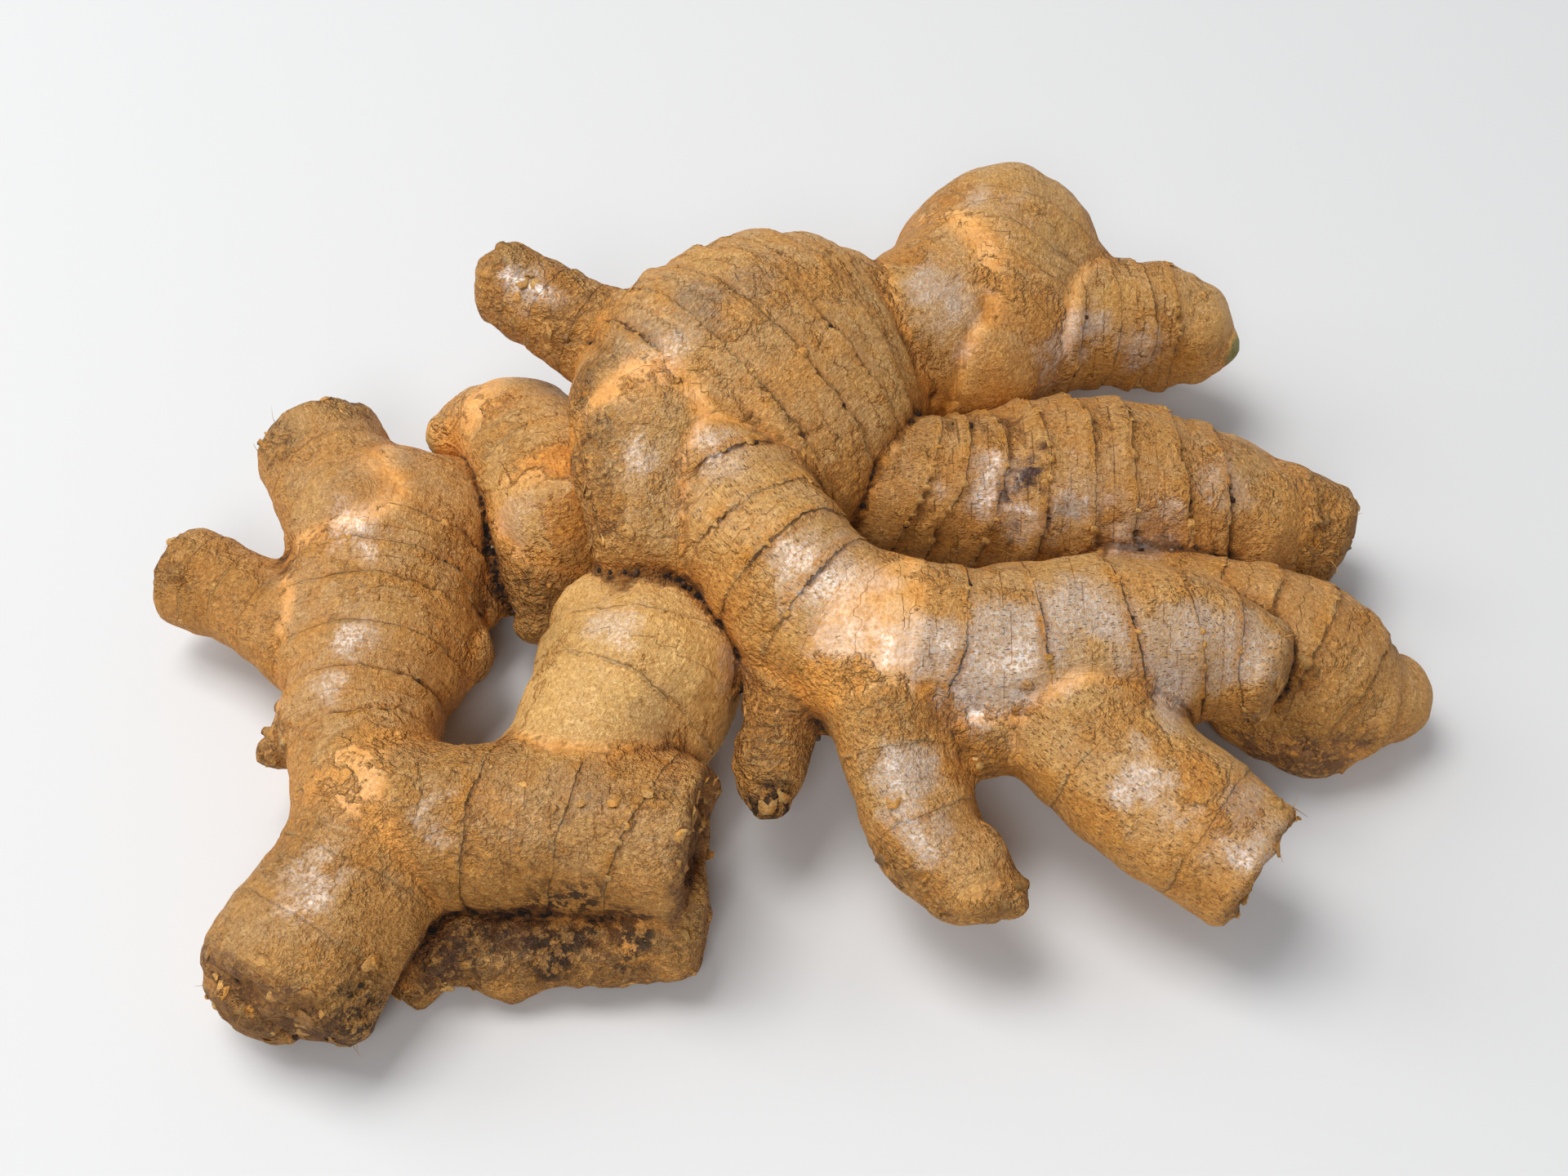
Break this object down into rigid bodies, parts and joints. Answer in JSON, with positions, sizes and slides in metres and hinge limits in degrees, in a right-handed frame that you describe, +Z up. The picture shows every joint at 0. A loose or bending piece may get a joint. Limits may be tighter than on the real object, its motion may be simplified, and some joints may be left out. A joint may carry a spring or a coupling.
{
  "type": "ginger root",
  "caption": "Whole hand of fresh ginger: one rhizome of swollen, ringed, knobbly fingers branching from a fat middle knob, lying on its lower lobes",
  "frame": {"origin": "centre of the bounding box in plan, at the ground the rhizome lies on", "axes": "+X along the longest extent, to the side of the low right lobe; -Y the front, with the free fingers; +Z up, the shortest extent"},
  "size_m": [0.2178, 0.1737, 0.0604],
  "materials": {
    "skin": "thin dry papery skin, tan with a silvery sheen, leaf-scar rings and soil in the creases"
  },
  "bodies": {
    "root": {"rhizome": "skin"}
  },
  "joints": []
}
